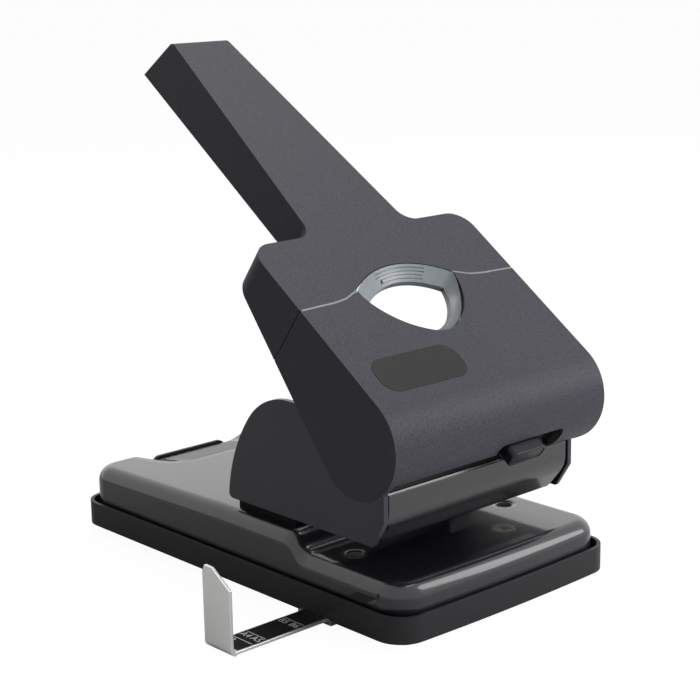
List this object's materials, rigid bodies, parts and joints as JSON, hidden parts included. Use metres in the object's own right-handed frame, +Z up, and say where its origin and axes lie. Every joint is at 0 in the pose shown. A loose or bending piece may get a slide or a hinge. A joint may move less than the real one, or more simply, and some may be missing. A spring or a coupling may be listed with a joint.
{
  "type": "two-hole paper punch",
  "caption": "Desk-standing heavy duty paper punch with a long tapering hand lever, finger hole, lock button, lift-off chip tray and sliding paper guide.",
  "frame": {"origin": "on the standing plane, midway between the two punches", "axes": "+X right seen from the front, +Y to the rear where the lever points, +Z up"},
  "size_m": [0.1572, 0.1968, 0.2013],
  "materials": {
    "tray": "matt moulded",
    "foot": "matt",
    "pan": "gloss black paint",
    "cheek": "semi-gloss black paint",
    "plate": "gloss black paint",
    "moulding": "fine textured charcoal",
    "surround": "gloss",
    "button": "gloss black",
    "guide": "bright plated steel",
    "plated": "zinc plated",
    "steel": "turned or bent steel",
    "pin": "ground hardened steel",
    "spring": "spring wire",
    "bush": "turned"
  },
  "bodies": {
    "tray": {"chip_tray": "tray", "rubber_feet": "foot", "guide_channel": "plated", "channel_screws": "plated"},
    "paper_guide": {"paper_guide": "guide"},
    "punch_unit": {"base_pan": "pan", "die_plate": "steel", "left_cheek": "cheek", "right_cheek": "cheek", "front_plate": "plate", "guide_bridge": "plate", "guide_bushes": "bush", "frame_spacer": "plate", "frame_screws": "plated", "frame_nuts": "plated", "pivot_shaft": "steel", "shaft_clips": "plated", "pin_spring_left": "spring", "pin_spring_right": "spring"},
    "lever": {"head_moulding": "moulding", "handle_moulding": "moulding", "hole_surround": "surround", "lever_chassis": "plated", "lever_bushes": "bush", "drive_bar": "steel", "chassis_screws": "plated"},
    "lock": {"lock_button": "button", "lock_bar": "plated"},
    "left_punch": {"punch_pin_left": "pin"},
    "right_punch": {"punch_pin_right": "pin"}
  },
  "joints": [
    {"name": "guide_slide", "type": "slide", "parent": "tray", "child": "paper_guide", "axis": [-1, 0, 0], "range_m": [-0.04, 0.0485]},
    {"name": "lift_off", "type": "slide", "parent": "tray", "child": "punch_unit", "axis": [0, 0, 1], "range_m": [0, 0.025]},
    {"name": "lever_hinge", "type": "hinge", "parent": "punch_unit", "child": "lever", "pos_m": [0, -0.0177, 0.071], "axis": [1, 0, 0], "range_deg": [-36.1, 0], "stiffness_Nm_per_rad": 0.6, "springref_deg": 28.65},
    {"name": "lock_slide", "type": "slide", "parent": "lever", "child": "lock", "axis": [1, 0, 0], "range_m": [0, 0.0128]},
    {"name": "left_punch_slide", "type": "slide", "parent": "punch_unit", "child": "left_punch", "axis": [0, 0, 1], "range_m": [-0.013, 0], "deforming": ["pin_spring_left"]},
    {"name": "right_punch_slide", "type": "slide", "parent": "punch_unit", "child": "right_punch", "axis": [0, 0, 1], "range_m": [-0.013, 0], "deforming": ["pin_spring_right"]}
  ],
  "couplings": [
    {"joint": "left_punch_slide", "follows": "lever_hinge", "m_per_rad": 0.020522},
    {"joint": "right_punch_slide", "follows": "lever_hinge", "m_per_rad": 0.020522}
  ]
}
